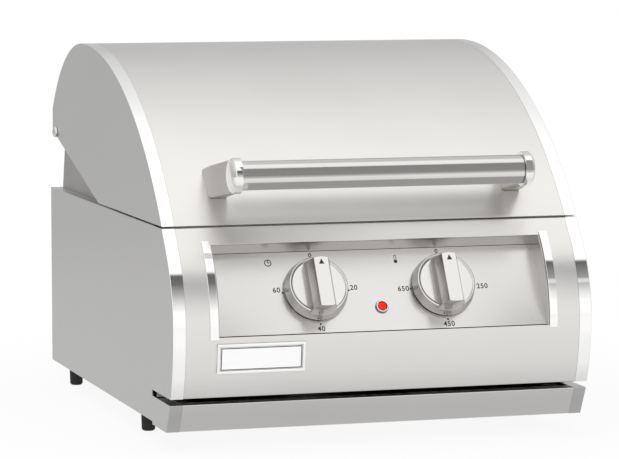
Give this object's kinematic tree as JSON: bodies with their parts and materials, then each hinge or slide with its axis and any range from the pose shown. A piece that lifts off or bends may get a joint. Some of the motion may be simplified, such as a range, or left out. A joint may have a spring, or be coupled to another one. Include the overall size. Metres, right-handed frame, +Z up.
{
  "type": "electric grill",
  "caption": "Countertop electric grill with a hinged curved hood, bar handle, sunk control panel with dials and a slide-out drip tray.",
  "frame": {"origin": "on the ground plane under the feet, at the middle of the grill's footprint", "axes": "+Z up, -Y towards the control panel and the person who cooks, +X to that person's right"},
  "size_m": [0.409, 0.526, 0.3553],
  "materials": {
    "brushed_steel": "stainless steel sheet, fine brushed grain",
    "polished_steel": "stainless steel, polished bright",
    "satin_nickel": "cast zinc with a satin nickel plate",
    "plain_steel": "plain stainless sheet, not polished",
    "zinc_plate": "zinc plated steel",
    "element_sheath": "dark oxidised alloy sheath of the heating element",
    "brass": "plain turned brass",
    "copper": "plain drawn copper",
    "black_rubber": "black moulded rubber",
    "black_plastic": "black moulded plastic",
    "ceramic": "unglazed cream ceramic",
    "red_lens": "clear red moulded lens",
    "badge_white": "white enamelled plate, bare"
  },
  "bodies": {
    "root": {"badge_frame": "polished_steel", "badge_plate": "badge_white", "base_pan": "brushed_steel", "bezel_left": "polished_steel", "bezel_right": "polished_steel", "control_panel": "brushed_steel", "cooking_grate": "polished_steel", "element_holder_front": "plain_steel", "element_holder_rear": "plain_steel", "foot_front_left": "black_rubber", "foot_front_right": "black_rubber", "foot_rear_left": "black_rubber", "foot_rear_right": "black_rubber", "front_end_left": "polished_steel", "front_end_right": "polished_steel", "front_panel": "brushed_steel", "grate_rail_left": "plain_steel", "grate_rail_right": "plain_steel", "heating_element": "element_sheath", "lamp_case": "black_plastic", "lamp_lens": "red_lens", "lamp_ring": "satin_nickel", "liner_front": "plain_steel", "liner_left": "plain_steel", "liner_rear": "plain_steel", "liner_right": "plain_steel", "pivot_bolt_left": "satin_nickel", "pivot_bolt_right": "satin_nickel", "pivot_bush_left": "brass", "pivot_bush_right": "brass", "power_inlet": "black_plastic", "rear_panel": "brushed_steel", "reflector_pan": "plain_steel", "sensing_bulb": "copper", "sensing_tube": "copper", "side_panel_left": "brushed_steel", "side_panel_right": "brushed_steel", "terminal_block": "ceramic", "thermostat": "zinc_plate", "timer_case": "black_plastic", "tray_runner_left": "zinc_plate", "tray_runner_right": "zinc_plate", "vent_plate": "plain_steel"},
    "hood": {"hood_skin": "brushed_steel", "hood_end_left": "polished_steel", "hood_end_right": "polished_steel", "handle_tube": "brushed_steel", "handle_bracket_left": "satin_nickel", "handle_bracket_right": "satin_nickel", "handle_screw_left": "zinc_plate", "handle_screw_right": "zinc_plate"},
    "tray": {"tray_front": "brushed_steel", "tray_end_left": "polished_steel", "tray_end_right": "polished_steel", "drip_pan": "brushed_steel"},
    "timer_dial": {"timer_knob": "satin_nickel", "timer_shaft": "zinc_plate"},
    "temperature_dial": {"temperature_knob": "satin_nickel", "temperature_shaft": "zinc_plate"}
  },
  "joints": [
    {"name": "hood_hinge", "type": "hinge", "parent": "root", "child": "hood", "pos_m": [0, 0.23052, 0.2602], "axis": [-1, 0, 0], "range_deg": [0, 90]},
    {"name": "tray_slide", "type": "slide", "parent": "root", "child": "tray", "axis": [0, -1, 0], "range_m": [0, 0.3]},
    {"name": "timer_turn", "type": "hinge", "parent": "root", "child": "timer_dial", "pos_m": [-0.061, -0.22385, 0.14328], "axis": [0, 0.8632, -0.5048], "range_deg": [0, 270]},
    {"name": "temperature_turn", "type": "hinge", "parent": "root", "child": "temperature_dial", "pos_m": [0.061, -0.22385, 0.14328], "axis": [0, 0.8632, -0.5048], "range_deg": [0, 270]}
  ]
}
